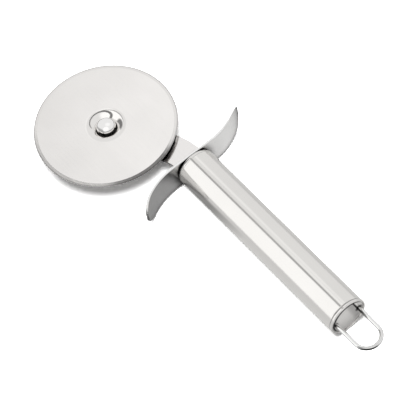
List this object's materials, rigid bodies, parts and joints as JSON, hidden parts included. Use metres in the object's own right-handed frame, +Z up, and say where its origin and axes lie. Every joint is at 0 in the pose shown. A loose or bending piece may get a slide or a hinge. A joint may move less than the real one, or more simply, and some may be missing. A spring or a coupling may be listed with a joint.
{
  "type": "pizza cutter wheel",
  "caption": "Pizza cutter: a flat wheel with a dished hub, riveted to a bent flat arm, with an S-shaped finger guard and a round tube handle that ends in a wire hanging loop.",
  "frame": {"origin": "middle of the bounding box, on the surface that the part lies on", "axes": "+X runs along the handle towards the wheel, +Z up along the wheel's axis out of the rivet's head, +Y towards the side that the wheel hangs off"},
  "size_m": [0.2036, 0.0844, 0.0193],
  "materials": {
    "wheel_steel": "satin stainless steel, ground at the rim",
    "plate_steel": "satin stainless steel sheet",
    "washer_nylon": "black nylon",
    "tube_steel": "polished stainless steel",
    "cap_steel": "polished stainless steel pressing",
    "wire_steel": "polished stainless steel wire",
    "rivet_steel": "polished stainless steel"
  },
  "bodies": {
    "handle": {"hub_rivet": "rivet_steel", "top_washer": "washer_nylon", "spacer_washer": "washer_nylon", "arm": "plate_steel", "finger_guard": "plate_steel", "handle_tube": "tube_steel", "front_cap": "cap_steel", "tail_cap": "cap_steel", "hanging_loop": "wire_steel"},
    "wheel": {"blade": "wheel_steel"}
  },
  "joints": [
    {"name": "wheel_spin", "type": "hinge", "parent": "handle", "child": "wheel", "pos_m": [0.0683, 0.0087, 0.0135], "axis": [0, 0, 1], "continuous": true}
  ]
}
